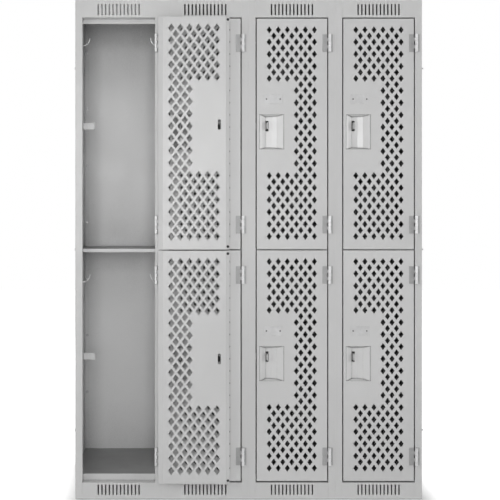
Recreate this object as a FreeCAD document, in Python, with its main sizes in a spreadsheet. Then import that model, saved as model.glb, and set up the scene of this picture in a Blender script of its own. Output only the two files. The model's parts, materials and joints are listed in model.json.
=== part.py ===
import FreeCAD, Part
import math
import os
import re

# Bank of four two-tier steel lockers. Origin at the middle of the footprint on the floor,
# +X to the right, +Y to the back, +Z up, millimetres. The fronts of the doors face -Y.

DIMENSIONS = {
    # carcass
    "bay_width": 317.5,
    "total_height": 1828.8,
    "depth": 381,
    "panel_sheet": 1.2,
    "rear_flange": 15,
    # welded front frame
    "frame_sheet": 1.5,
    "jamb_face": 25.4,
    "jamb_return": 30,
    "gang_flange": 24,
    "header_height": 64,
    "sill_height": 60,
    "stop_lip": 17,
    "vent_pitch": 13.6,
    "vent_width": 5,
    "header_vent_height": 40,
    "header_vent_middle": 1793.6,
    "sill_vent_height": 36.5,
    "sill_vent_middle": 34,
    # floor and shelf
    "floor_height": 84,
    "shelf_height": 916,
    "shelf_lip": 12.5,
    "side_lip": 12,
    # doors
    "door_width": 258.3,
    "door_height": 845,
    "door_sheet": 1.5,
    "door_depth": 22,
    "door_edge_depth": 17.3,
    "latch_slope": 12.5,
    "hinge_slope": 15.5,
    "return_landing": 4.5,
    "inner_sheet": 1.2,
    "lower_door_base": 66,
    "upper_door_base": 915.5,
    "open_angle": 180,
    # perforation
    "diamond_width": 18.6,
    "diamond_height": 26,
    "inner_diamond_margin": 2.2,
    "column_pitch": 33.1,
    "first_column": 46,
    "top_margin": 41,
    "bottom_margin": 47,
    # hinges
    "axis_side": 8.2,
    "axis_out": 6,
    "barrel_radius": 5.5,
    "pin_radius": 2.5,
    "pin_gap": 0.05,
    "knuckle_length": 12.4,
    "knuckle_gap": 0.5,
    "hinge_from_end": 90,
    "leaf_sheet": 1.5,
    "door_leaf": 25,
    "jamb_leaf": 12.5,
    # finger pull, number plate and padlock strike
    "pull_left": 9.6,
    "pull_width": 91,
    "pull_base": 366,
    "pull_height": 128,
    "pull_depth": 17.4,
    "pull_sheet": 1.2,
    "pull_rim": 5,
    "slot_from_latch": 39.5,
    "slot_middle": 453,
    "slot_width": 11,
    "slot_height": 38,
    "inner_slot_from_latch": 37,
    "inner_slot_width": 11,
    "inner_slot_height": 38,
    "plate_width": 68,
    "plate_height": 35,
    "plate_sheet": 0.8,
    "plate_left": 26.6,
    "plate_middle": 550,
    "rivet_spread": 50,
    "rivet_radius": 2.4,
    "strike_sheet": 3,
    "strike_height": 24,
    "strike_setback": 24,
    "eye_radius": 5,
    "eye_inset": 9.5,
    # coat hooks
    "hook_setback": 110,
    "hook_reach": 42,
    "hook_rise": 24,
    "hook_wire": 2.4,
    "upper_hook_height": 1686,
    "lower_hook_height": 790,
    # fasteners
    "bolt_radius": 2.4,
    "bolt_hole": 2.6,
    "bolt_head_radius": 5.2,
    "bolt_head": 2.4,
    "bolt_tail": 6,
    "nut_radius": 5,
    "nut_height": 3.2,
}
BAYS = 4
TIERS = ("lower", "upper")
VENT_SLOTS = 12
KNUCKLES = 5
DIAMOND_ROWS = 35
UPPER_BLOCK = 9
LOWER_BLOCK = 11
FULL_COLUMNS = 6
HINGE_COLUMNS = 3
BACK_BOLTS = 7
BACK_BOLT_BASE = 316.5
BACK_BOLT_PITCH = 232.5
GANG_BOLT_HEIGHTS = (250, 914.4, 1580)

doc = FreeCAD.newDocument("locker_bank")
dims = doc.addObject("Spreadsheet::Sheet", "Dims")
for row, (alias, value) in enumerate(DIMENSIONS.items(), start=1):
    dims.set(f"A{row}", alias)
    dims.set(f"B{row}", str(value))
    dims.setAlias(f"B{row}", alias)
doc.recompute()

exported = []


# ---------------------------------------------------------------- helpers
def dim(alias):
    return float(dims.get(alias))


def formula(text):
    """The expression with each dimension's name pointing at the sheet."""
    return re.sub(r"[a-z_]{3,}", lambda found: "Dims." + found.group(0), str(text))


def bind(item, **expressions):
    for prop, text in expressions.items():
        item.setExpression(prop.replace("__", "."), formula(text))
    return item


def place(item, x=0, y=0, z=0):
    for axis, text in zip("xyz", (x, y, z)):
        item.setExpression(f"Placement.Base.{axis}", formula(text))
    return item


def block(name, x, y, z, size_x, size_y, size_z):
    """A sheet-metal flat: its low corner and its three sizes follow the sheet."""
    item = bind(doc.addObject("Part::Box", name), Length=size_x, Width=size_y, Height=size_z)
    return place(item, x, y, z)


def rod(name, x, y, z, radius, length, direction="z"):
    item = bind(doc.addObject("Part::Cylinder", name), Radius=radius, Height=length)
    turns = {
        "x": FreeCAD.Rotation(FreeCAD.Vector(0, 1, 0), 90),
        "y": FreeCAD.Rotation(FreeCAD.Vector(1, 0, 0), -90),
        "z": FreeCAD.Rotation(),
    }
    item.Placement.Rotation = turns[direction]
    return place(item, x, y, z)


def fuse(name, items):
    item = doc.addObject("Part::MultiFuse", name)
    item.Shapes = items
    item.Refine = True
    return item


def group(name, items):
    item = doc.addObject("Part::Compound", name)
    item.Links = items
    return item


def cut(name, base, tools):
    item = doc.addObject("Part::Cut", name)
    item.Base = base
    item.Tool = tools[0] if len(tools) == 1 else group(name + "_tools", tools)
    return item


def copy(name, master, x=0, y=0, z=0, angle=0):
    """A placed copy that follows its master's dimensions."""
    item = place(group(name, [master]), x, y, z)
    item.setExpression("Placement.Rotation.Angle", formula(angle))
    item.Placement.Rotation.Axis = FreeCAD.Vector(0, 0, 1)
    return item


def export(item, label):
    item.Label = label
    exported.append(item)


def bay_middle(bay):
    """Distance of a bay's middle from the middle of the bank, bays counted from 1."""
    return f"({bay} - {(BAYS + 1) / 2}) * bay_width"


def in_bay(name, master, bay):
    return copy(name, master, x=bay_middle(bay), y="-depth / 2")


def one_in_each_bay(label, master):
    export(group(label, [in_bay(f"{label}_{bay}", master, bay) for bay in range(1, BAYS + 1)]), label)


# ---------------------------------------------------------------- front frame
# Frame masters are drawn in a bay's own frame: x from its middle, y back from its face.
def jamb_master(name, side):
    """Channel jamb: face, ganging flange beside the neighbour, return beside the door."""
    outer = "-bay_width / 2" if side < 0 else "bay_width / 2 - jamb_face"
    flange = (
        "-bay_width / 2 + panel_sheet / 2"
        if side < 0
        else "bay_width / 2 - panel_sheet / 2 - frame_sheet"
    )
    inner = (
        "-bay_width / 2 + jamb_face - frame_sheet" if side < 0 else "bay_width / 2 - jamb_face"
    )
    under_top = "total_height - panel_sheet"
    body = fuse(
        name + "_sheet",
        [
            block(name + "_face", outer, 0, 0, "jamb_face", "frame_sheet", "total_height"),
            block(name + "_flange", flange, 0, 0, "frame_sheet", "gang_flange", under_top),
            block(name + "_return", inner, 0, 0, "frame_sheet", "jamb_return", under_top),
        ],
    )
    holes = [
        rod(f"{name}_hole_{i}", f"{flange} - 1", "gang_flange / 2 + 1", z, "bolt_hole", "frame_sheet + 2", "x")
        for i, z in enumerate(GANG_BOLT_HEIGHTS)
    ]
    return cut(name, body, holes)


def vent_tools(name, middle, height):
    first = f"-vent_pitch * {(VENT_SLOTS - 1) / 2} - vent_width / 2"
    return [
        block(
            f"{name}_vent_{i}",
            f"{first} + {i} * vent_pitch",
            -1,
            f"{middle} - {height} / 2",
            "vent_width",
            "frame_sheet + 2",
            height,
        )
        for i in range(VENT_SLOTS)
    ]


def header_master():
    """Header rail: vented face, return over the doors and the stop lip behind them."""
    left, span = "-bay_width / 2 + jamb_face", "bay_width - 2 * jamb_face"
    low = "total_height - header_height"
    body = fuse(
        "header_sheet",
        [
            block("header_face", left, 0, low, span, "frame_sheet", "header_height"),
            block("header_return", left, 0, low, span, "jamb_return", "frame_sheet"),
            block(
                "header_stop", left, "jamb_return - frame_sheet", f"{low} - stop_lip",
                span, "frame_sheet", "stop_lip + frame_sheet",
            ),
            block(
                "header_top", left, 0, "total_height - panel_sheet - frame_sheet",
                span, "rear_flange", "frame_sheet",
            ),
        ],
    )
    return cut("header", body, vent_tools("header", "header_vent_middle", "header_vent_height"))


def sill_master():
    """Sill rail: vented face, ledge in front of the floor and the foot on the ground."""
    left, span = "-bay_width / 2 + jamb_face", "bay_width - 2 * jamb_face"
    body = fuse(
        "sill_sheet",
        [
            block("sill_face", left, 0, 0, span, "frame_sheet", "sill_height"),
            block(
                "sill_ledge", left, 0, "sill_height - frame_sheet",
                span, "jamb_return", "frame_sheet",
            ),
            block("sill_foot", left, 0, 0, span, "jamb_return", "frame_sheet"),
        ],
    )
    return cut("sill", body, vent_tools("sill", "sill_vent_middle", "sill_vent_height"))


def front_frames():
    one_in_each_bay("latch_side_jambs", jamb_master("latch_jamb", -1))
    one_in_each_bay("hinge_side_jambs", jamb_master("hinge_jamb", 1))
    one_in_each_bay("header_rails", header_master())
    one_in_each_bay("sill_rails", sill_master())


# ---------------------------------------------------------------- panels
def back_bolt_height(i):
    return BACK_BOLT_BASE + i * BACK_BOLT_PITCH


def side_panel(label, boundary, bend):
    """Upright panel on a bay boundary, its rear flange bent to one side behind the back."""
    middle = f"{boundary - BAYS / 2} * bay_width"
    flange_x = (
        f"{middle} - panel_sheet / 2"
        if bend > 0
        else f"{middle} + panel_sheet / 2 - rear_flange"
    )
    body = fuse(
        label + "_sheet",
        [
            block(
                label + "_web", f"{middle} - panel_sheet / 2", "-depth / 2 + frame_sheet", 0,
                "panel_sheet", "depth - frame_sheet - panel_sheet", "total_height",
            ),
            block(
                label + "_flange", flange_x, "depth / 2 - 2 * panel_sheet", 0,
                "rear_flange", "panel_sheet", "total_height",
            ),
        ],
    )
    gang = [
        rod(
            f"{label}_gang_{i}", f"{middle} - 5", "-depth / 2 + gang_flange / 2 + 1", z,
            "bolt_hole", 10, "x",
        )
        for i, z in enumerate(GANG_BOLT_HEIGHTS)
    ]
    rear = [
        rod(
            f"{label}_rear_{i}", f"{middle} + {bend} * rear_flange * 0.6", "depth / 2 - 5",
            back_bolt_height(i), "bolt_hole", 10, "y",
        )
        for i in range(BACK_BOLTS)
    ]
    export(cut(label, body, gang + rear), label)


def side_panels():
    side_panel("left_outer_side_panel", 0, 1)
    for boundary in range(1, BAYS):
        side_panel(f"partition_{boundary}", boundary, -1)
    side_panel("right_outer_side_panel", BAYS, -1)


def back_panels():
    backs = []
    for bay in range(1, BAYS + 1):
        name = f"back_{bay}"
        sheet = block(
            name + "_sheet", f"{bay_middle(bay)} - bay_width / 2", "depth / 2 - panel_sheet", 0,
            "bay_width", "panel_sheet", "total_height",
        )
        sides = [1] if bay > 1 else [-1, 1]
        bolts = [
            rod(
                f"{name}_bolt_{side}_{i}",
                f"{bay_middle(bay)} + {side} * (bay_width / 2 - rear_flange * 0.6)",
                "depth / 2 - 5", back_bolt_height(i), "bolt_hole", 10, "y",
            )
            for side in sides
            for i in range(BACK_BOLTS)
        ]
        backs.append(cut(name, sheet, bolts))
    export(group("back_panels", backs), "back_panels")


def tray_master(name, top, front_lip, side_down, start):
    """Folded tray: a flat with a front lip and two side lips, all turned down."""
    wide = "bay_width - panel_sheet"
    left = "-bay_width / 2 + panel_sheet / 2"
    flat_depth = f"depth - 2 * panel_sheet - ({start})"
    parts = [
        block(name + "_flat", left, start, f"{top} - panel_sheet", wide, flat_depth, "panel_sheet"),
        block(name + "_left", left, start, f"{top} - {side_down}", "panel_sheet", flat_depth, side_down),
        block(
            name + "_right", "bay_width / 2 - 1.5 * panel_sheet", start, f"{top} - {side_down}",
            "panel_sheet", flat_depth, side_down,
        ),
    ]
    if front_lip:
        parts.append(
            block(name + "_lip", left, start, f"{top} - ({front_lip})", wide, "panel_sheet", front_lip)
        )
    return fuse(name, parts)


def trays():
    top = block(
        "top", "-bay_width / 2 + panel_sheet / 2", "frame_sheet", "total_height - panel_sheet",
        "bay_width - panel_sheet", "depth - frame_sheet - 2 * panel_sheet", "panel_sheet",
    )
    one_in_each_bay("top_panels", top)
    one_in_each_bay(
        "floor_panels",
        tray_master("floor", "floor_height", "floor_height - sill_height", "side_lip", "jamb_return"),
    )
    one_in_each_bay(
        "shelves", tray_master("shelf", "shelf_height", "shelf_lip", "side_lip", "jamb_return + 0.5")
    )


# ---------------------------------------------------------------- hinges
# Door masters are drawn closed, from the hinge axis at the door's bottom edge:
# the door runs to -X, its face is axis_out behind the axis.
def hinge_bases():
    """Height of the bottom of each of the two barrels above the door's bottom edge."""
    half = f"({KNUCKLES} * knuckle_length + {KNUCKLES - 1} * knuckle_gap) / 2"
    return (f"hinge_from_end - {half}", f"door_height - hinge_from_end - {half}")


def hinge_leaf(name, base, door_side):
    """One leaf: its plate and its own knuckles, bored for the pin."""
    step = "(knuckle_length + knuckle_gap)"
    barrel = f"({KNUCKLES} * knuckle_length + {KNUCKLES - 1} * knuckle_gap)"
    if door_side:
        plate = block(
            name + "_plate", "-door_leaf", "axis_out - leaf_sheet", base,
            "door_leaf - axis_side", "leaf_sheet", barrel,
        )
    else:
        plate = block(
            name + "_plate", "axis_side", "axis_out - leaf_sheet", base,
            "jamb_leaf - axis_side", "leaf_sheet", barrel,
        )
    parts = [plate]
    for i in range(1 if door_side else 0, KNUCKLES, 2):
        low = f"{base} + {i} * {step}"
        parts.append(rod(f"{name}_knuckle_{i}", 0, 0, low, "barrel_radius", "knuckle_length"))
        tab_x = "-axis_side - 0.5" if door_side else "0"
        tab_out = "leaf_sheet - 0.4" if door_side else "leaf_sheet"
        parts.append(
            block(
                f"{name}_tab_{i}", tab_x, "axis_out - leaf_sheet", low,
                "axis_side + 0.5", tab_out, "knuckle_length",
            )
        )
    bore = rod(name + "_bore", 0, 0, f"{base} - 1", "pin_radius + pin_gap", f"{barrel} + 2")
    return cut(name, fuse(name + "_solid", parts), [bore])


def hinge_pin(name, base):
    barrel = f"({KNUCKLES} * knuckle_length + {KNUCKLES - 1} * knuckle_gap)"
    shank = rod(name + "_shank", 0, 0, f"{base} - 1.5", "pin_radius", f"{barrel} + 3")
    head = rod(name + "_head", 0, 0, f"{base} + {barrel}", "pin_radius + 1.4", 1.5)
    tail = rod(name + "_tail", 0, 0, f"{base} - 1.5", "pin_radius + 1.4", 1.5)
    return fuse(name, [shank, head, tail])


def door_base(tier):
    return f"{tier}_door_base"


def at_hinge(name, master, bay, tier, angle=0):
    return copy(
        name,
        master,
        x=f"{bay_middle(bay)} + door_width / 2 + axis_side",
        y="-depth / 2 - axis_out",
        z=door_base(tier),
        angle=angle,
    )


def at_every_door(label, master):
    copies = [
        at_hinge(f"{label}_{bay}_{tier}", master, bay, tier)
        for bay in range(1, BAYS + 1)
        for tier in TIERS
    ]
    export(group(label, copies), label)


def fixed_hinge_parts():
    low, high = hinge_bases()
    leaves = [hinge_leaf("fixed_low", low, False), hinge_leaf("fixed_high", high, False)]
    at_every_door("fixed_hinge_leaves", group("fixed_pair", leaves))
    at_every_door("hinge_pins", group("pin_pair", [hinge_pin("pin_low", low), hinge_pin("pin_high", high)]))


# ---------------------------------------------------------------- door pieces
LATCH = "(-door_width - axis_side)"


def diamond_cutter(name, front, through, margin=0):
    """Staggered diamonds: full rows above and below, only the hinge side beside the pull."""
    half_x, half_z = dim("diamond_width") / 2 + margin, dim("diamond_height") / 2 + margin
    pitch = (dim("door_height") - dim("top_margin") - dim("bottom_margin")) / (DIAMOND_ROWS - 1)
    first = -dim("door_width") - dim("axis_side") + dim("first_column")
    prisms = []
    for row in range(DIAMOND_ROWS):
        z = dim("door_height") - dim("top_margin") - row * pitch
        offset = 0.5 * (row % 2)
        beside_pull = UPPER_BLOCK <= row < DIAMOND_ROWS - LOWER_BLOCK
        start = FULL_COLUMNS - HINGE_COLUMNS if beside_pull else 0
        for column in range(start, FULL_COLUMNS - row % 2):
            x = first + (column + offset) * dim("column_pitch")
            corners = [(x - half_x, z), (x, z - half_z), (x + half_x, z), (x, z + half_z)]
            points = [FreeCAD.Vector(u, front, v) for u, v in corners]
            face = Part.Face(Part.makePolygon(points + points[:1]))
            prisms.append(face.extrude(FreeCAD.Vector(0, through, 0)))
    item = doc.addObject("Part::Feature", name)
    item.Shape = Part.makeCompound(prisms)
    return item


def prism(name, profile, low, high):
    """Upright prism over a profile of (x, y) corners."""
    points = [FreeCAD.Vector(x, y, low) for x, y in profile]
    item = doc.addObject("Part::Feature", name)
    item.Shape = Part.Face(Part.makePolygon(points + points[:1])).extrude(FreeCAD.Vector(0, 0, high - low))
    return item


def door_panel_master():
    """Outer pan: perforated face, four flanges, and long edges that slope in to a landing."""
    front, sheet = dim("axis_out"), dim("door_sheet")
    edge = front + dim("door_edge_depth")
    landing = front + dim("door_depth") - dim("inner_sheet")
    latch, hinge = -dim("door_width") - dim("axis_side"), -dim("axis_side")
    latch_top, hinge_top = latch + dim("latch_slope"), hinge - dim("hinge_slope")
    outside = prism(
        "pan_outside",
        [
            (latch, front), (latch, edge), (latch_top, landing),
            (hinge_top, landing), (hinge, edge), (hinge, front),
        ],
        0, dim("door_height"),
    )
    inside = prism(
        "pan_inside",
        [
            (latch + sheet, front + sheet), (latch + sheet, edge - sheet),
            (latch_top, landing - sheet), (hinge_top, landing - sheet),
            (hinge - sheet, edge - sheet), (hinge - sheet, front + sheet),
        ],
        sheet, dim("door_height") - sheet,
    )
    between = block(
        "pan_between", f"{LATCH} + latch_slope + return_landing", "axis_out + door_sheet", "door_sheet",
        "door_width - latch_slope - hinge_slope - 2 * return_landing", "door_depth",
        "door_height - 2 * door_sheet",
    )
    opening = block(
        "pull_opening", f"{LATCH} + pull_left", "axis_out - 1", "pull_base",
        "pull_width", "door_sheet + 2", "pull_height",
    )
    rivets = [
        rod(
            f"plate_hole_{side}", f"{LATCH} + plate_left + plate_width / 2 + {side} * rivet_spread / 2",
            "axis_out - 1", "plate_middle", "rivet_radius - 1", "door_sheet + 2", "y",
        )
        for side in (-1, 1)
    ]
    diamonds = diamond_cutter("outer_diamonds", dim("axis_out") - 1, dim("door_sheet") + 2)
    return cut("door_pan", outside, [inside, between, diamonds, opening] + rivets)


def inner_panel_master():
    """Flat inner skin on the landings, perforated wider than the face, slotted for the strike."""
    front = "axis_out + door_depth - inner_sheet"
    sheet = block(
        "inner_sheet_flat", f"{LATCH} + latch_slope", front, 0,
        "door_width - latch_slope - hinge_slope", "inner_sheet", "door_height",
    )
    middle = f"{LATCH} + inner_slot_from_latch"
    straight = "(inner_slot_height - inner_slot_width)"
    slot = block(
        "inner_slot", f"{middle} - inner_slot_width / 2", f"{front} - 1",
        f"slot_middle - {straight} / 2", "inner_slot_width", "inner_sheet + 2", straight,
    )
    ends = [
        rod(
            f"inner_slot_end_{side}", middle, f"{front} - 1", f"slot_middle + {side} * {straight} / 2",
            "inner_slot_width / 2", "inner_sheet + 2", "y",
        )
        for side in (-1, 1)
    ]
    start = dim("axis_out") + dim("door_depth") - dim("inner_sheet") - 1
    diamonds = diamond_cutter(
        "inner_diamonds", start, dim("inner_sheet") + 2, dim("inner_diamond_margin")
    )
    return cut("inner_panel", sheet, [diamonds, slot] + ends)


def cup(grow):
    """The hollow of the finger pull, or its outside when grown by the sheet's thickness."""
    left = -dim("door_width") - dim("axis_side") + dim("pull_left") - grow
    wide = dim("pull_width") + 2 * grow
    deep = dim("pull_depth") + grow
    low = dim("pull_base") - grow
    high = dim("pull_base") + dim("pull_height") + grow
    face = dim("axis_out")
    crease = (dim("slot_from_latch") - dim("pull_left") + grow - dim("slot_width") / 2) / wide
    section = ((0, 0), (0.10, 0.30), (crease, 1), (0.5, 0.93), (0.72, 0.72), (0.92, 0.14), (1, 0))
    points = [FreeCAD.Vector(left + u * wide, face + v * deep, low) for u, v in section]
    trough = Part.Face(Part.makePolygon(points + points[:1])).extrude(FreeCAD.Vector(0, 0, high - low))
    slope = 7
    ends = [(low, face), (low + slope, face + deep + 1), (high - slope, face + deep + 1), (high, face)]
    profile = [FreeCAD.Vector(left - 1, y, z) for z, y in ends]
    between_ends = Part.Face(Part.makePolygon(profile + profile[:1])).extrude(FreeCAD.Vector(wide + 2, 0, 0))
    return trough.common(between_ends)


def finger_pull_master():
    """Pressed cup behind the door's opening, with a rim against the back of the sheet."""
    hollow = doc.addObject("Part::Feature", "pull_hollow")
    hollow.Shape = cup(0)
    outside = doc.addObject("Part::Feature", "pull_outside")
    outside.Shape = cup(dim("pull_sheet"))
    rim = block(
        "pull_rim_sheet", f"{LATCH} + pull_left - pull_rim", "axis_out + door_sheet",
        "pull_base - pull_rim", "pull_width + 2 * pull_rim", "pull_sheet",
        "pull_height + 2 * pull_rim",
    )
    front = block(
        "pull_front", f"{LATCH} - 5", "axis_out - 5", "pull_base - 20",
        "pull_width + 60", "door_sheet + 5", "pull_height + 40",
    )
    slot = block(
        "pull_slot", f"{LATCH} + slot_from_latch - slot_width / 2", "axis_out + 2",
        "slot_middle - slot_height / 2", "slot_width", "pull_depth + 6", "slot_height",
    )
    return cut("finger_pull", fuse("pull_solid", [outside, rim]), [hollow, front, slot])


def number_plate_master():
    """Blank number plate on the door's face, held by two small rivets."""
    front = "axis_out - plate_sheet"
    left = f"{LATCH} + plate_left"
    plate = block(
        "plate_blank", left, front, "plate_middle - plate_height / 2",
        "plate_width", "plate_sheet", "plate_height",
    )
    holes, rivets = [], []
    for side in (-1, 1):
        x = f"{left} + plate_width / 2 + {side} * rivet_spread / 2"
        shank = "rivet_radius - 1"
        holes.append(rod(f"plate_bore_{side}", x, f"{front} - 1", "plate_middle", shank, 3, "y"))
        rivets.append(
            fuse(
                f"plate_rivet_{side}",
                [
                    rod(
                        f"rivet_shank_{side}", x, f"{front} - 0.3", "plate_middle",
                        shank, "plate_sheet + door_sheet + 0.3", "y",
                    ),
                    rod(f"rivet_head_{side}", x, f"{front} - 0.7", "plate_middle", "rivet_radius", 0.7, "y"),
                ],
            )
        )
    return group("number_plate", [cut("plate", plate, holes)] + rivets)


def doors():
    low, high = hinge_bases()
    moving = [hinge_leaf("moving_low", low, True), hinge_leaf("moving_high", high, True)]
    masters = {
        "door_panel": door_panel_master(),
        "finger_pull": finger_pull_master(),
        "inner_panel": inner_panel_master(),
        "number_plate": number_plate_master(),
        "hinge_leaves": group("moving_pair", moving),
    }
    for bay in range(1, BAYS + 1):
        angle = "open_angle" if bay == 1 else 0
        for tier in TIERS:
            for piece, master in masters.items():
                label = f"bay_{bay}_{tier}_{piece}"
                export(at_hinge(label, master, bay, tier, angle), label)


# ---------------------------------------------------------------- strikes and hooks
def strikes():
    """Padlock strike: arm off the latch jamb, its end turned out through the door's slot."""
    tab = f"{LATCH} + slot_from_latch - strike_sheet / 2"
    jamb = f"{LATCH} - 2"
    back = "axis_out + strike_setback"
    low = "slot_middle - strike_height / 2"
    body = fuse(
        "strike_body",
        [
            block(
                "strike_arm", jamb, back, low,
                f"{tab} + strike_sheet - ({jamb})", "strike_sheet", "strike_height",
            ),
            block(
                "strike_tab", tab, "axis_out", low,
                "strike_sheet", "strike_setback + strike_sheet", "strike_height",
            ),
            block(
                "strike_foot", jamb, back, low,
                "strike_sheet", "jamb_return - strike_setback", "strike_height",
            ),
        ],
    )
    eye = rod(
        "strike_eye", f"{tab} - 1", "axis_out + eye_inset", "slot_middle",
        "eye_radius", "strike_sheet + 2", "x",
    )
    at_every_door("padlock_strikes", cut("strike", body, [eye]))


def hook_shape(side):
    """Single-prong wire hook and its wall plate, reaching to +X for side 1 and -X for side -1."""
    reach, rise, wire = side * dim("hook_reach"), dim("hook_rise"), dim("hook_wire")
    plate = Part.makeBox(1.6, 16, 34, FreeCAD.Vector(0 if side > 0 else -1.6, -8, -17))
    start = FreeCAD.Vector(side * 1.2, 0, 4)
    low = FreeCAD.Vector(reach * 0.45, 0, -2)
    turn = FreeCAD.Vector(reach * 0.78, 0, 4)
    tip = FreeCAD.Vector(reach, 0, rise)
    curve = Part.BSplineCurve()
    curve.interpolate([start, low, turn, tip])
    path = Part.Wire([curve.toShape()])
    direction = curve.tangent(curve.FirstParameter)[0]
    ring = Part.Wire([Part.makeCircle(wire, start, direction)])
    prong = path.makePipeShell([ring], True, True)
    return plate.fuse([prong, Part.makeSphere(wire + 0.9, tip)])


def coat_hooks():
    hooks = []
    for side in (1, -1):
        master = doc.addObject("Part::Feature", f"hook_{'left' if side > 0 else 'right'}")
        master.Shape = hook_shape(side)
        for bay in range(1, BAYS + 1):
            wall = f"{bay_middle(bay)} - {side} * (bay_width / 2 - panel_sheet / 2)"
            for tier in TIERS:
                hooks.append(
                    copy(
                        f"{master.Name}_{bay}_{tier}", master, x=wall,
                        y="-depth / 2 + hook_setback", z=f"{tier}_hook_height",
                    )
                )
    export(group("coat_hooks", hooks), "coat_hooks")


# ---------------------------------------------------------------- fasteners
def hexagon(radius, height):
    corners = [
        FreeCAD.Vector(radius * math.cos(math.radians(60 * i)), radius * math.sin(math.radians(60 * i)), 0)
        for i in range(6)
    ]
    return Part.Face(Part.makePolygon(corners + corners[:1])).extrude(FreeCAD.Vector(0, 0, height))


def bolt_master(name, grip, direction):
    """Truss-head bolt: the head's underside at the origin, the shank along the direction."""
    shank = rod(name + "_shank", 0, 0, 0, "bolt_radius", f"{grip} + bolt_tail", direction)
    start = {"x": ("-bolt_head", 0, 0), "y": (0, "-bolt_head", 0)}[direction]
    head = rod(name + "_head", *start, "bolt_head_radius", "bolt_head", direction)
    return fuse(name, [shank, head])


def nut_master(name, direction):
    blank = doc.addObject("Part::Feature", name)
    bore = Part.makeCylinder(dim("bolt_radius") + 0.02, dim("nut_height") + 2, FreeCAD.Vector(0, 0, -1))
    shape = hexagon(dim("nut_radius"), dim("nut_height")).cut(bore)
    axis = FreeCAD.Vector(0, 1, 0) if direction == "x" else FreeCAD.Vector(1, 0, 0)
    shape.rotate(FreeCAD.Vector(), axis, 90 if direction == "x" else -90)
    blank.Shape = shape
    return blank


def fasteners():
    """Bolts and nuts of the back panels, and of the frames bolted together through the sides."""
    back_bolt = bolt_master("back_bolt", "2 * panel_sheet", "y")
    back_nut = nut_master("back_nut", "y")
    gang_bolt = bolt_master("gang_bolt", "2 * frame_sheet + panel_sheet", "x")
    gang_nut = nut_master("gang_nut", "x")
    back_bolts, gang_bolts, nuts = [], [], []
    columns = [(boundary, -1) for boundary in range(1, BAYS + 1)]
    for boundary, bend in [(0, 1)] + columns:
        middle = f"{boundary - BAYS / 2} * bay_width"
        x = f"{middle} + {bend} * rear_flange * 0.6"
        for i in range(BACK_BOLTS):
            z = back_bolt_height(i)
            back_bolts.append(
                copy(f"back_bolt_{boundary}_{i}", back_bolt, x=x, y="depth / 2 - 2 * panel_sheet", z=z)
            )
            nuts.append(copy(f"back_nut_{boundary}_{i}", back_nut, x=x, y="depth / 2", z=z))
        # the end panels are gripped by one frame only, the partitions by two
        left = f"{middle} - panel_sheet / 2" + (" - frame_sheet" if boundary > 0 else "")
        right = f"{middle} + panel_sheet / 2" + (" + frame_sheet" if boundary < BAYS else "")
        for i, z in enumerate(GANG_BOLT_HEIGHTS):
            y = "-depth / 2 + gang_flange / 2 + 1"
            gang_bolts.append(copy(f"gang_bolt_{boundary}_{i}", gang_bolt, x=left, y=y, z=z))
            nuts.append(copy(f"gang_nut_{boundary}_{i}", gang_nut, x=right, y=y, z=z))
    export(group("back_panel_bolts", back_bolts), "back_panel_bolts")
    export(group("ganging_bolts", gang_bolts), "ganging_bolts")
    export(group("nuts", nuts), "nuts")


# ---------------------------------------------------------------- build and write
front_frames()
side_panels()
back_panels()
trays()
fixed_hinge_parts()
strikes()
coat_hooks()
fasteners()
doors()
doc.recompute()

for item in doc.Objects:
    broken = {"Invalid", "Error"} & set(item.State)
    if broken:
        raise SystemExit(f"{item.Name} did not build: {sorted(broken)}")
os.makedirs("parts", exist_ok=True)
for item in exported:
    if item.Shape.isNull() or not item.Shape.isValid() or not item.Shape.Solids:
        raise SystemExit(f"{item.Label} has no valid solid")
    item.Shape.exportStep(f"parts/{item.Label}.step")
print(f"{len(exported)} nodes, {sum(len(item.Shape.Solids) for item in exported)} solids")
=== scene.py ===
import json
import math

import bmesh
import bpy
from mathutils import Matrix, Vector


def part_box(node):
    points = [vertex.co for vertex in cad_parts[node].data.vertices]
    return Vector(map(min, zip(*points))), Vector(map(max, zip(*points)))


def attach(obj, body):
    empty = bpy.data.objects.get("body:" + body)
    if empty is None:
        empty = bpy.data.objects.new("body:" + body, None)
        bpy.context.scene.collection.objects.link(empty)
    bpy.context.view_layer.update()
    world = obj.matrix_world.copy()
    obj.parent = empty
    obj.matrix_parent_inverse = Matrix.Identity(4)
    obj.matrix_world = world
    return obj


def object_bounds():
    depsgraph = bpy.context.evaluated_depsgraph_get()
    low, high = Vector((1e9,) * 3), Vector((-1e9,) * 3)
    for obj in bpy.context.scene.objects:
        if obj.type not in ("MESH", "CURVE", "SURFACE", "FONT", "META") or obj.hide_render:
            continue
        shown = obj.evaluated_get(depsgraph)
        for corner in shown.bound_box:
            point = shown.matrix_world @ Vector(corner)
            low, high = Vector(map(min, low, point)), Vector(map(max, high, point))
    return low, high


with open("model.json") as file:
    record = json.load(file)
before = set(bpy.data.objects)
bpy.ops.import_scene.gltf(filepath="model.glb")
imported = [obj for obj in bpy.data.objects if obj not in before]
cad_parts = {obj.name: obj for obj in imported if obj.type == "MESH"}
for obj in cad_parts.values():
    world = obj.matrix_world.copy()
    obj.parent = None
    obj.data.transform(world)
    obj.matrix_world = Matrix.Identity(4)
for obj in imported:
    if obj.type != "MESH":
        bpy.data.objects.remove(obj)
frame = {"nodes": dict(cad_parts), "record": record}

REST_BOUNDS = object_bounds()
RECORD = frame["record"]
BODIES = RECORD["behaviour"]["bodies"]
JOINTS = {j["child"]: j for j in RECORD["behaviour"]["joints"]}
DOORS = sorted(name for name in BODIES if name.endswith("_door"))
HINGE_LINES = sorted({tuple(joint["pos_m"][:2]) for joint in JOINTS.values()})


# ------------------------------------------------------------------ materials
# a Mix node has sockets of the same names for numbers, vectors and colours: these are the colours'
MIX_COLOUR_INPUTS = (6, 7)
MIX_COLOUR_OUTPUT = 2
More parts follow.
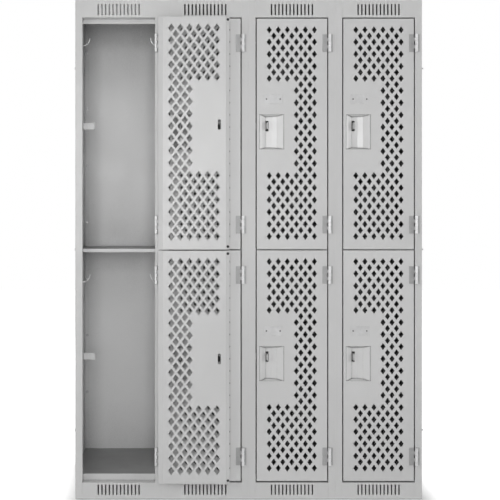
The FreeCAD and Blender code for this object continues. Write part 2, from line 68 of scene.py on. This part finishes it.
# cosine of the angle between the rounded and the true normal, where the lighter edge starts and is
# full; on paint it is part wear and part painted highlight
EDGE_STARTS, EDGE_FULL = 0.985, 0.8
# noise scales of the paint, from its widest drift to its finest specks, per metre
DRIFT, DENTS, SHEEN, DUST, PEEL, SPECKS = 2.2, 5.0, 14.0, 26.0, 420.0, 900.0
# noise scales of the metals and the rubber
MOTTLE, LINES, BLOOM = 60.0, 260.0, 220.0
# how much darker than the coat: dust on it, painted shade in its folds and gaps, painted shade on the
# tops of trays
DUSTY, CREVICE_SHADE, TOP_SHADE = 0.81, 0.16, 0.3


def nodes_of(name):
    """A new material, its node tree and its principled shader."""
    material = bpy.data.materials.new(name)
    material.use_nodes = True
    tree = material.node_tree
    tree.nodes.clear()
    output = tree.nodes.new("ShaderNodeOutputMaterial")
    shader = tree.nodes.new("ShaderNodeBsdfPrincipled")
    tree.links.new(shader.outputs["BSDF"], output.inputs["Surface"])
    return material, tree, shader


def noise(tree, vector, scale, detail=3.0, roughness=0.55):
    node = tree.nodes.new("ShaderNodeTexNoise")
    node.inputs["Scale"].default_value = scale
    node.inputs["Detail"].default_value = detail
    node.inputs["Roughness"].default_value = roughness
    tree.links.new(vector, node.inputs["Vector"])
    return node.outputs["Fac"]


def ramp(tree, value, low, high, low_value, high_value):
    node = tree.nodes.new("ShaderNodeMapRange")
    node.inputs["From Min"].default_value = low
    node.inputs["From Max"].default_value = high
    node.inputs["To Min"].default_value = low_value
    node.inputs["To Max"].default_value = high_value
    tree.links.new(value, node.inputs["Value"])
    return node.outputs["Result"]


def math_node(tree, operation, first, second):
    node = tree.nodes.new("ShaderNodeMath")
    node.operation = operation
    for socket, value in zip(node.inputs, (first, second)):
        if isinstance(value, (int, float)):
            socket.default_value = value
        else:
            tree.links.new(value, socket)
    return node.outputs["Value"]


def mix_colour(tree, factor, first, second):
    node = tree.nodes.new("ShaderNodeMix")
    node.data_type = "RGBA"
    tree.links.new(factor, node.inputs["Factor"])
    for number, value in zip(MIX_COLOUR_INPUTS, (first, second)):
        if isinstance(value, tuple):
            node.inputs[number].default_value = (*value, 1.0)
        else:
            tree.links.new(value, node.inputs[number])
    return node.outputs[MIX_COLOUR_OUTPUT]


def edge_mask(tree, radius):
    """1 on edges and 0 on flats, from how far a rounded normal leans from the true one."""
    rounded = tree.nodes.new("ShaderNodeBevel")
    rounded.samples = 4
    rounded.inputs["Radius"].default_value = radius
    geometry = tree.nodes.new("ShaderNodeNewGeometry")
    dot = tree.nodes.new("ShaderNodeVectorMath")
    dot.operation = "DOT_PRODUCT"
    tree.links.new(rounded.outputs["Normal"], dot.inputs[0])
    tree.links.new(geometry.outputs["Normal"], dot.inputs[1])
    return ramp(tree, dot.outputs["Value"], EDGE_STARTS, EDGE_FULL, 0.0, 1.0), rounded.outputs["Normal"]


def crevice(tree, reach, closed, clear, samples=6):
    """1 in the open and 0 deep in a gap or a fold narrower than reach."""
    node = tree.nodes.new("ShaderNodeAmbientOcclusion")
    node.samples = samples
    node.inputs["Distance"].default_value = reach
    return ramp(tree, node.outputs["AO"], closed, clear, 0.0, 1.0)


def shade_of(tone, factor):
    return tuple(min(1.0, c * factor) for c in tone)


def shifted_place(tree, offset):
    """Object coordinates moved by offset, so that each paint has a pattern of its own."""
    shifted = tree.nodes.new("ShaderNodeVectorMath")
    shifted.operation = "ADD"
    shifted.inputs[1].default_value = offset
    tree.links.new(tree.nodes.new("ShaderNodeTexCoord").outputs["Object"], shifted.inputs[0])
    return shifted.outputs["Vector"]


def bump(tree, height, strength, distance, normal=None):
    node = tree.nodes.new("ShaderNodeBump")
    node.inputs["Strength"].default_value = strength
    node.inputs["Distance"].default_value = distance
    tree.links.new(height, node.inputs["Height"])
    if normal:
        tree.links.new(normal, node.inputs["Normal"])
    return node.outputs["Normal"]


def sprayed_coat(tree, place, dust, tone):
    """The coat's own colour: it drifts a little in tone and carries fine specks and dust."""
    drift = ramp(tree, noise(tree, place, DRIFT, 4.0), 0.3, 0.7, 0.0, 1.0)
    speck = ramp(tree, noise(tree, place, SPECKS, 2.0), 0.45, 0.75, 0.0, 0.10)
    dirt = shade_of(tone, DUSTY)
    colour = mix_colour(tree, drift, shade_of(tone, 0.965), shade_of(tone, 1.025))
    colour = mix_colour(tree, speck, colour, dirt)
    return mix_colour(tree, ramp(tree, dust, 0.62, 0.85, 0.0, 0.10), colour, dirt)


def upward(tree, amount):
    """amount on faces that look up, 0 on the others."""
    facing = tree.nodes.new("ShaderNodeSeparateXYZ")
    tree.links.new(tree.nodes.new("ShaderNodeNewGeometry").outputs["Normal"], facing.inputs[0])
    return ramp(tree, facing.outputs["Z"], 0.5, 0.9, 0.0, amount)


def painted_steel(
    name, tone, offset, top_shading=0.0, fold=(0.008, 0.15, 0.62), gloss=0.36, edge=(0.0014, 1.15)
):
    """Powder-coated sheet: faint drifts of tone, fine orange peel, scuffs, and lighter edges
    that are part wear and part painted highlight.

    Faces that look up are darkened by up to the given amount, a painted shade on the tops
    of trays and shelves. Folds and gaps are darkened as painted shade: fold is how wide they
    can be, how closed the darkest and how open the unshaded ones are, and the samples if not
    crevice's own. edge is the radius of the lighter edges and how much lighter they are.
    gloss is the middle of the coat's roughness.
    """
    material, tree, shader = nodes_of(name)
    place = shifted_place(tree, offset)
    dust = noise(tree, place, DUST, 6.0, 0.7)
    edges, rounded = edge_mask(tree, edge[0])
    # edges drawn lighter: part wear, part painted highlight
    lighter_edges = math_node(tree, "MULTIPLY", edges, ramp(tree, dust, 0.35, 0.65, 0.3, 0.8))
    colour = sprayed_coat(tree, place, dust, tone)
    colour = mix_colour(tree, lighter_edges, colour, shade_of(tone, edge[1]))
    # painted shade: folds and gaps are darkened where they are closed
    colour = mix_colour(tree, crevice(tree, *fold), shade_of(tone, CREVICE_SHADE), colour)
    # painted shade on the faces that look up
    if top_shading:
        colour = mix_colour(tree, upward(tree, top_shading), colour, shade_of(tone, TOP_SHADE))
    tree.links.new(colour, shader.inputs["Base Color"])
    sheen = ramp(tree, noise(tree, place, SHEEN, 5.0), 0.3, 0.7, gloss - 0.06, gloss + 0.06)
    tree.links.new(sheen, shader.inputs["Roughness"])
    peel = bump(tree, noise(tree, place, PEEL, 3.0), 0.16, 0.0004, rounded)
    dents = bump(tree, noise(tree, place, DENTS, 2.0), 0.10, 0.004, peel)
    tree.links.new(dents, shader.inputs["Normal"])
    shader.inputs["Specular IOR Level"].default_value = 0.2 if top_shading else 0.45
    shader.inputs["Coat Weight"].default_value = 0.0 if top_shading else 0.06
    return material


def bare_metal(name, tone, roughness, stretch, metallic=1.0):
    """Plated or satin metal with fine lines along one axis and a light mottling."""
    material, tree, shader = nodes_of(name)
    place = tree.nodes.new("ShaderNodeTexCoord").outputs["Object"]
    mapping = tree.nodes.new("ShaderNodeMapping")
    mapping.inputs["Scale"].default_value = stretch
    tree.links.new(place, mapping.inputs["Vector"])
    lines = noise(tree, mapping.outputs["Vector"], LINES, 4.0)
    mottle = noise(tree, place, MOTTLE, 5.0)
    colour = mix_colour(tree, ramp(tree, mottle, 0.3, 0.7, 0.0, 1.0), shade_of(tone, 0.86), tone)
    edges, rounded = edge_mask(tree, 0.0008)
    # the rounded edges are drawn lighter
    lighter_edges = math_node(tree, "MULTIPLY", edges, 0.5)
    colour = mix_colour(tree, lighter_edges, colour, shade_of(tone, 1.2))
    tree.links.new(colour, shader.inputs["Base Color"])
    satin = ramp(tree, lines, 0.3, 0.7, roughness - 0.08, roughness + 0.1)
    tree.links.new(satin, shader.inputs["Roughness"])
    tree.links.new(bump(tree, lines, 0.2, 0.0002, rounded), shader.inputs["Normal"])
    shader.inputs["Metallic"].default_value = metallic
    return material


def black_rubber(name):
    """Black rubber with a grey bloom."""
    material, tree, shader = nodes_of(name)
    place = tree.nodes.new("ShaderNodeTexCoord").outputs["Object"]
    bloom = noise(tree, place, BLOOM, 4.0)
    colour = mix_colour(
        tree, ramp(tree, bloom, 0.4, 0.75, 0.0, 1.0), (0.010, 0.010, 0.011), (0.030, 0.030, 0.031)
    )
    tree.links.new(colour, shader.inputs["Base Color"])
    tree.links.new(ramp(tree, bloom, 0.3, 0.7, 0.6, 0.8), shader.inputs["Roughness"])
    tree.links.new(bump(tree, bloom, 0.25, 0.0003), shader.inputs["Normal"])
    return material


GREY = (0.60, 0.60, 0.598)
# one tone whose pattern is shifted, so that neighbouring doors don't repeat it
PAINTS = {
    i: painted_steel(f"grey_paint_{i}", GREY, (3.7 * i, 1.3 * i, 2.1 * i)) for i in (0, 1, 3, 4)
}
DOOR_PAINTS = {
    ("1", "upper"): PAINTS[1], ("1", "lower"): PAINTS[4],
    ("3", "upper"): PAINTS[3], ("3", "lower"): PAINTS[0],
    ("4", "upper"): PAINTS[4], ("4", "lower"): PAINTS[1],
}
# bay 2's doors, which bay 1's cover, painted lighter than the others: painted light against the shade
# of the folded doors
BAY_2_LIGHTENED_PAINT = painted_steel("bay_2_lightened_paint", (0.66, 0.66, 0.658), (7.0, 9.0, 4.0))
# the frame is painted a little darker than the doors: painted shade
FRAME_PAINT = painted_steel("frame_paint", (0.585, 0.585, 0.583), (11.0, 5.0, 2.0))
# inside the bays: a lighter grey than the doors, painted light that lifts the dim insides, with painted
# shade in the enclosed corners
INNER_PAINT = painted_steel(
    "inner_paint", (0.75, 0.75, 0.75), (21.0, 3.0, 7.0), fold=(0.6, 0.02, 0.15, 16)
)
# trays and shelves: their tops are darkened as painted shade
TRAY_PAINT = painted_steel("tray_paint", (0.60, 0.60, 0.60), (5.0, 17.0, 3.0), top_shading=0.75)
# the directions that the metals' lines run along
PLAIN, SIDEWAYS, UPRIGHT = (1.0, 1.0, 1.0), (0.05, 1.0, 1.0), (1.0, 1.0, 0.15)
PLATE = bare_metal("number_plate_finish", (0.64, 0.64, 0.642), 0.42, SIDEWAYS, metallic=0.12)
# the rivets are nearly black: painted shade
RIVET_SHADE = bare_metal("rivet_painted_shade", (0.02, 0.02, 0.021), 0.7, PLAIN, metallic=0.0)
ZINC = bare_metal("zinc_plate", (0.62, 0.62, 0.63), 0.34, UPRIGHT)
# the hinge leaves' dark grey is painted shade, and the knuckles' near white a painted highlight
HINGE_LEAF_SHADE = bare_metal("hinge_leaf_painted_shade", (0.44, 0.44, 0.442), 0.42, UPRIGHT, metallic=0.25)
BARREL_HIGHLIGHT = bare_metal("hinge_barrel_painted_highlight", (0.86, 0.86, 0.862), 0.30, UPRIGHT, metallic=0.15)
# the finger pull: lighter than the doors, edges much lighter and its crease darkened; painted highlight
# and painted shade, the edges partly wear
PULL = painted_steel(
    "pull_paint", (0.66, 0.66, 0.658), (9.0, 4.0, 6.0),
    fold=(0.006, 0.60, 0.94), gloss=0.22, edge=(0.0028, 1.35),
)
# the inner skin's side toward the pan is nearly black: painted shade in the door's hollow
CAVITY_SHADE = painted_steel("door_cavity_painted_shade", (0.04, 0.04, 0.04), (2.0, 8.0, 5.0))
HOOK = bare_metal("hook_wire", (0.78, 0.78, 0.78), 0.30, (1.0, 1.0, 0.3), metallic=0.35)
RUBBER = black_rubber("bumper_rubber")

INNER_NODES = {
    "back_panels", "top_panels", "partition_1", "partition_2", "partition_3",
    "left_outer_side_panel", "right_outer_side_panel",
}
FRAME_NODES = {
    "latch_side_jambs", "hinge_side_jambs", "header_rails", "sill_rails", "padlock_strikes",
}
ZINC_NODES = {"hinge_pins", "back_panel_bolts", "ganging_bolts", "nuts"}

# how near to a rivet's middle or a door's axis a face lies when it belongs to it
RIVET_FROM_MIDDLE = 0.025
RIVET_REACH = 0.0032
BARREL_REACH = 0.0062
# cosine above which a face of the inner skin looks at the pan
TOWARD = 0.7


def finish_of(node):
    """The finish of a CAD node; both skins of a door share a paint."""
    if node in INNER_NODES:
        return INNER_PAINT
    if node in ("floor_panels", "shelves"):
        return TRAY_PAINT
    if node in FRAME_NODES:
        return FRAME_PAINT
    if node in ZINC_NODES:
        return ZINC
    if node.endswith("hinge_leaves"):
        return HINGE_LEAF_SHADE
    if node == "coat_hooks":
        return HOOK
    if node.endswith("number_plate"):
        return PLATE
    if node.endswith("finger_pull"):
        return PULL
    _, bay, tier, _ = node.split("_", 3)
    return DOOR_PAINTS.get((bay, tier), BAY_2_LIGHTENED_PAINT)


def second_finish(item, material, is_second):
    """Gives the faces picked by is_second(centre, normal), in the world, another finish."""
    item.data.materials.append(material)
    for face in item.data.polygons:
        at = item.matrix_world @ face.center
        out = item.matrix_world.to_3x3() @ face.normal
        face.material_index = int(is_second(at, out))


def on_rivet(low, high):
    """The two rivets stand to the left and right of the plate's middle."""
    middle = (low + high) / 2
    return lambda at, out: (
        abs(at.z - middle.z) < RIVET_REACH
        and abs(abs(at.x - middle.x) - RIVET_FROM_MIDDLE) < RIVET_REACH
    )


def on_barrel(at, out):
    """The knuckles stand round the axes of the doors."""
    return any(math.hypot(at.x - x, at.y - y) < BARREL_REACH for x, y in HINGE_LINES)


def faces_cavity(name):
    """The skin's side that faces the outer pan; an open door's pan is behind it."""
    door = name.removesuffix("_inner_panel")
    pan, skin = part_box(f"{door}_door_panel"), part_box(name)
    toward_pan = 1 if sum(pan, Vector()).y > sum(skin, Vector()).y else -1
    return lambda at, out: out.y * toward_pan > TOWARD


def paint_nodes():
    """Gives every CAD node its finish, and some of its faces a second one."""
    for name, item in frame["nodes"].items():
        item.data.materials.clear()
        item.data.materials.append(finish_of(name))
        if name.endswith("number_plate"):
            second_finish(item, RIVET_SHADE, on_rivet(*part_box(name)))
        elif name.endswith("hinge_leaves"):
            second_finish(item, BARREL_HIGHLIGHT, on_barrel)
        elif name.endswith("inner_panel"):
            second_finish(item, CAVITY_SHADE, faces_cavity(name))


# ------------------------------------------------------------------ extra pieces
def new_piece(name, mesh, material, body):
    """Adds a piece that rides on a body."""
    item = bpy.data.objects.new(name, mesh)
    bpy.context.scene.collection.objects.link(item)
    item.data.materials.append(material)
    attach(item, body)


def turned(name, profile, centre, axis, segments=24):
    """A solid of revolution: profile is (radius, distance along axis) from the centre out.

    A ring of radius 0 is a single point, and closes that end.
    """
    mesh = bpy.data.meshes.new(name)
    shape = bmesh.new()
    turn = Vector((0, 0, 1)).rotation_difference(Vector(axis)).to_matrix()

    def point(radius, along, step):
        angle = 2 * math.pi * step / segments
        spot = Vector((radius * math.cos(angle), radius * math.sin(angle), along))
        return shape.verts.new(Vector(centre) + turn @ spot)

    rings = [
        [point(radius, along, step) for step in range(segments if radius else 1)]
        for radius, along in profile
    ]
    for inner, outer in zip(rings, rings[1:]):
        for step in range(segments):
            following = (step + 1) % segments
            corners = [inner[step % len(inner)], inner[following % len(inner)]]
            corners += [outer[following % len(outer)], outer[step % len(outer)]]
            unique = list(dict.fromkeys(corners))
            if len(unique) > 2:
                shape.faces.new(unique)
    bmesh.ops.recalc_face_normals(shape, faces=shape.faces)
    for face in shape.faces:
        face.smooth = True
    shape.to_mesh(mesh)
    shape.free()
    return mesh


def door_bumpers():
    """Two domed rubber bumpers near the inner corners of each door's free edge.

    That edge slopes away from the door's back, so their feet are sunk below the back.
    """
    radius, height = 0.0048, 0.0036
    from_edge, from_end, sunk = 0.006, 0.0105, 0.0022
    profile = [
        (0.0, 0.0), (radius, 0.0), (radius, height * 0.45), (radius * 0.86, height * 0.82),
        (radius * 0.5, height), (0.0, height),
    ]
    for door in DOORS:
        low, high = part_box(f"{door}_panel")
        axis_x = JOINTS[door]["pos_m"][0]
        is_open = high.x - axis_x > axis_x - low.x
        x = high.x - from_edge if is_open else low.x + from_edge
        y, out = (low.y + sunk, -1) if is_open else (high.y - sunk, 1)
        for tag, z in (("top", high.z - from_end), ("bottom", low.z + from_end)):
            name = f"{door}_bumper_{tag}"
            mesh = turned(name, profile, (x, y, z), (0, out, 0))
            new_piece(name, mesh, RUBBER, door)


# ------------------------------------------------------------------ stage
FLOOR_HALF = 9.0
FLOOR_GAP = 0.0005
FLOOR_SEEN = 0.96
# the floor's own white fades in across this strip, round the cabinet's outline
SHADE_INSIDE, SHADE_OUTSIDE = 0.02, 0.10
# strength of the world as a light
AMBIENT = 0.15
# name, place, what it points at, size, power
LIGHTS = (
    ("front", (-0.45, -4.2, 1.45), (-0.1, 0, 0.95), (1.4, 1.4), 45),
    ("high", (0.0, -3.6, 3.2), (0, 0, 0.95), (1.6, 1.0), 14),
    ("left", (-3.3, -2.0, 1.5), (0, 0, 0.95), (2.2, 1.8), 46),
    ("right", (3.4, -1.6, 1.5), (0, 0, 0.95), (2.2, 1.8), 44),
    ("behind", (-1.8, 3.6, 2.0), (0, 0, 0.95), (2.0, 1.6), 45),
)


def seen_by_camera(tree, elsewhere, seen):
    """A value that differs for what the camera sees directly and for the light it gives."""
    path = tree.nodes.new("ShaderNodeLightPath")
    return ramp(tree, path.outputs["Is Camera Ray"], 0.0, 1.0, elsewhere, seen)


def outside_footprint(tree):
    """0 on the floor under the cabinet, 1 beside it, with a short fade at its edge."""
    low, high = REST_BOUNDS
    apart = tree.nodes.new("ShaderNodeVectorMath")
    apart.operation = "SUBTRACT"
    apart.inputs[1].default_value = (low + high) / 2
    tree.links.new(tree.nodes.new("ShaderNodeNewGeometry").outputs["Position"], apart.inputs[0])
    axes = tree.nodes.new("ShaderNodeSeparateXYZ")
    tree.links.new(apart.outputs["Vector"], axes.inputs[0])
    past = []
    for axis, half in (("X", (high.x - low.x) / 2), ("Y", (high.y - low.y) / 2)):
        reach = math_node(tree, "ABSOLUTE", axes.outputs[axis], 0.0)
        past.append(ramp(tree, reach, half - SHADE_INSIDE, half + SHADE_OUTSIDE, 0.0, 1.0))
    return math_node(tree, "MAXIMUM", past[0], past[1])


def stage():
    """A white floor just under the cabinet and a white world.

    The camera sees both as nearly pure white, and the cabinet is lit by less of it.
    """
    floor_mesh = bpy.data.meshes.new("floor")
    corners = [(x * FLOOR_HALF, y * FLOOR_HALF, 0) for x, y in ((-1, -1), (1, -1), (1, 1), (-1, 1))]
    floor_mesh.from_pydata(corners, [], [(0, 1, 2, 3)])
    floor = bpy.data.objects.new("floor", floor_mesh)
    bpy.context.scene.collection.objects.link(floor)
    floor.location.z = REST_BOUNDS[0].z - FLOOR_GAP
    material, tree, shader = nodes_of("studio_floor")
    shader.inputs["Base Color"].default_value = (0.90, 0.90, 0.90, 1.0)
    shader.inputs["Roughness"].default_value = 0.9
    shader.inputs["Specular IOR Level"].default_value = 0.1
    shader.inputs["Emission Color"].default_value = (1.0, 1.0, 1.0, 1.0)
    tree.links.new(
        math_node(tree, "MULTIPLY", seen_by_camera(tree, 0.0, FLOOR_SEEN), outside_footprint(tree)),
        shader.inputs["Emission Strength"],
    )
    floor.data.materials.append(material)

    world = bpy.data.worlds.new("studio")
    world.use_nodes = True
    background = world.node_tree.nodes["Background"]
    background.inputs["Color"].default_value = (1.0, 1.0, 1.0, 1.0)
    world.node_tree.links.new(
        seen_by_camera(world.node_tree, AMBIENT, 1.0), background.inputs["Strength"]
    )
    bpy.context.scene.world = world


def area_light(name, place, target, size, power):
    """A soft light that the camera doesn't see."""
    data = bpy.data.lights.new(name, "AREA")
    data.shape = "RECTANGLE"
    data.size, data.size_y = size
    data.energy = power
    item = bpy.data.objects.new(name, data)
    bpy.context.scene.collection.objects.link(item)
    item.location = place
    item.rotation_mode = "QUATERNION"
    item.rotation_quaternion = (Vector(target) - Vector(place)).to_track_quat("-Z", "Y")
    item.visible_camera = False


def camera():
    """Level camera on the photographed side; the shifts keep the uprights parallel.

    It stands `distance` before the frame's front, where it sees `seen` metres across.
    """
    low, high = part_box("header_rails")
    front, top = low.y, high.z
    distance, seen = 3.1, 1.8325
    shift_x, shift_y = 0.17, -0.06
    data = bpy.data.cameras.new("camera")
    data.sensor_width = 36.0
    data.lens = data.sensor_width * distance / seen
    data.shift_x, data.shift_y = shift_x, shift_y
    item = bpy.data.objects.new("camera", data)
    bpy.context.scene.collection.objects.link(item)
    centre_x, centre_z = 0.005, top - seen / 2
    item.location = (centre_x - shift_x * seen, front - distance, centre_z - shift_y * seen)
    item.rotation_euler = (math.radians(90), 0, 0)
    data.dof.use_dof = False
    bpy.context.scene.camera = item


paint_nodes()
door_bumpers()
stage()
for light in LIGHTS:
    area_light(*light)
camera()
bpy.context.scene.view_settings.view_transform = "Standard"
bpy.context.view_layer.update()
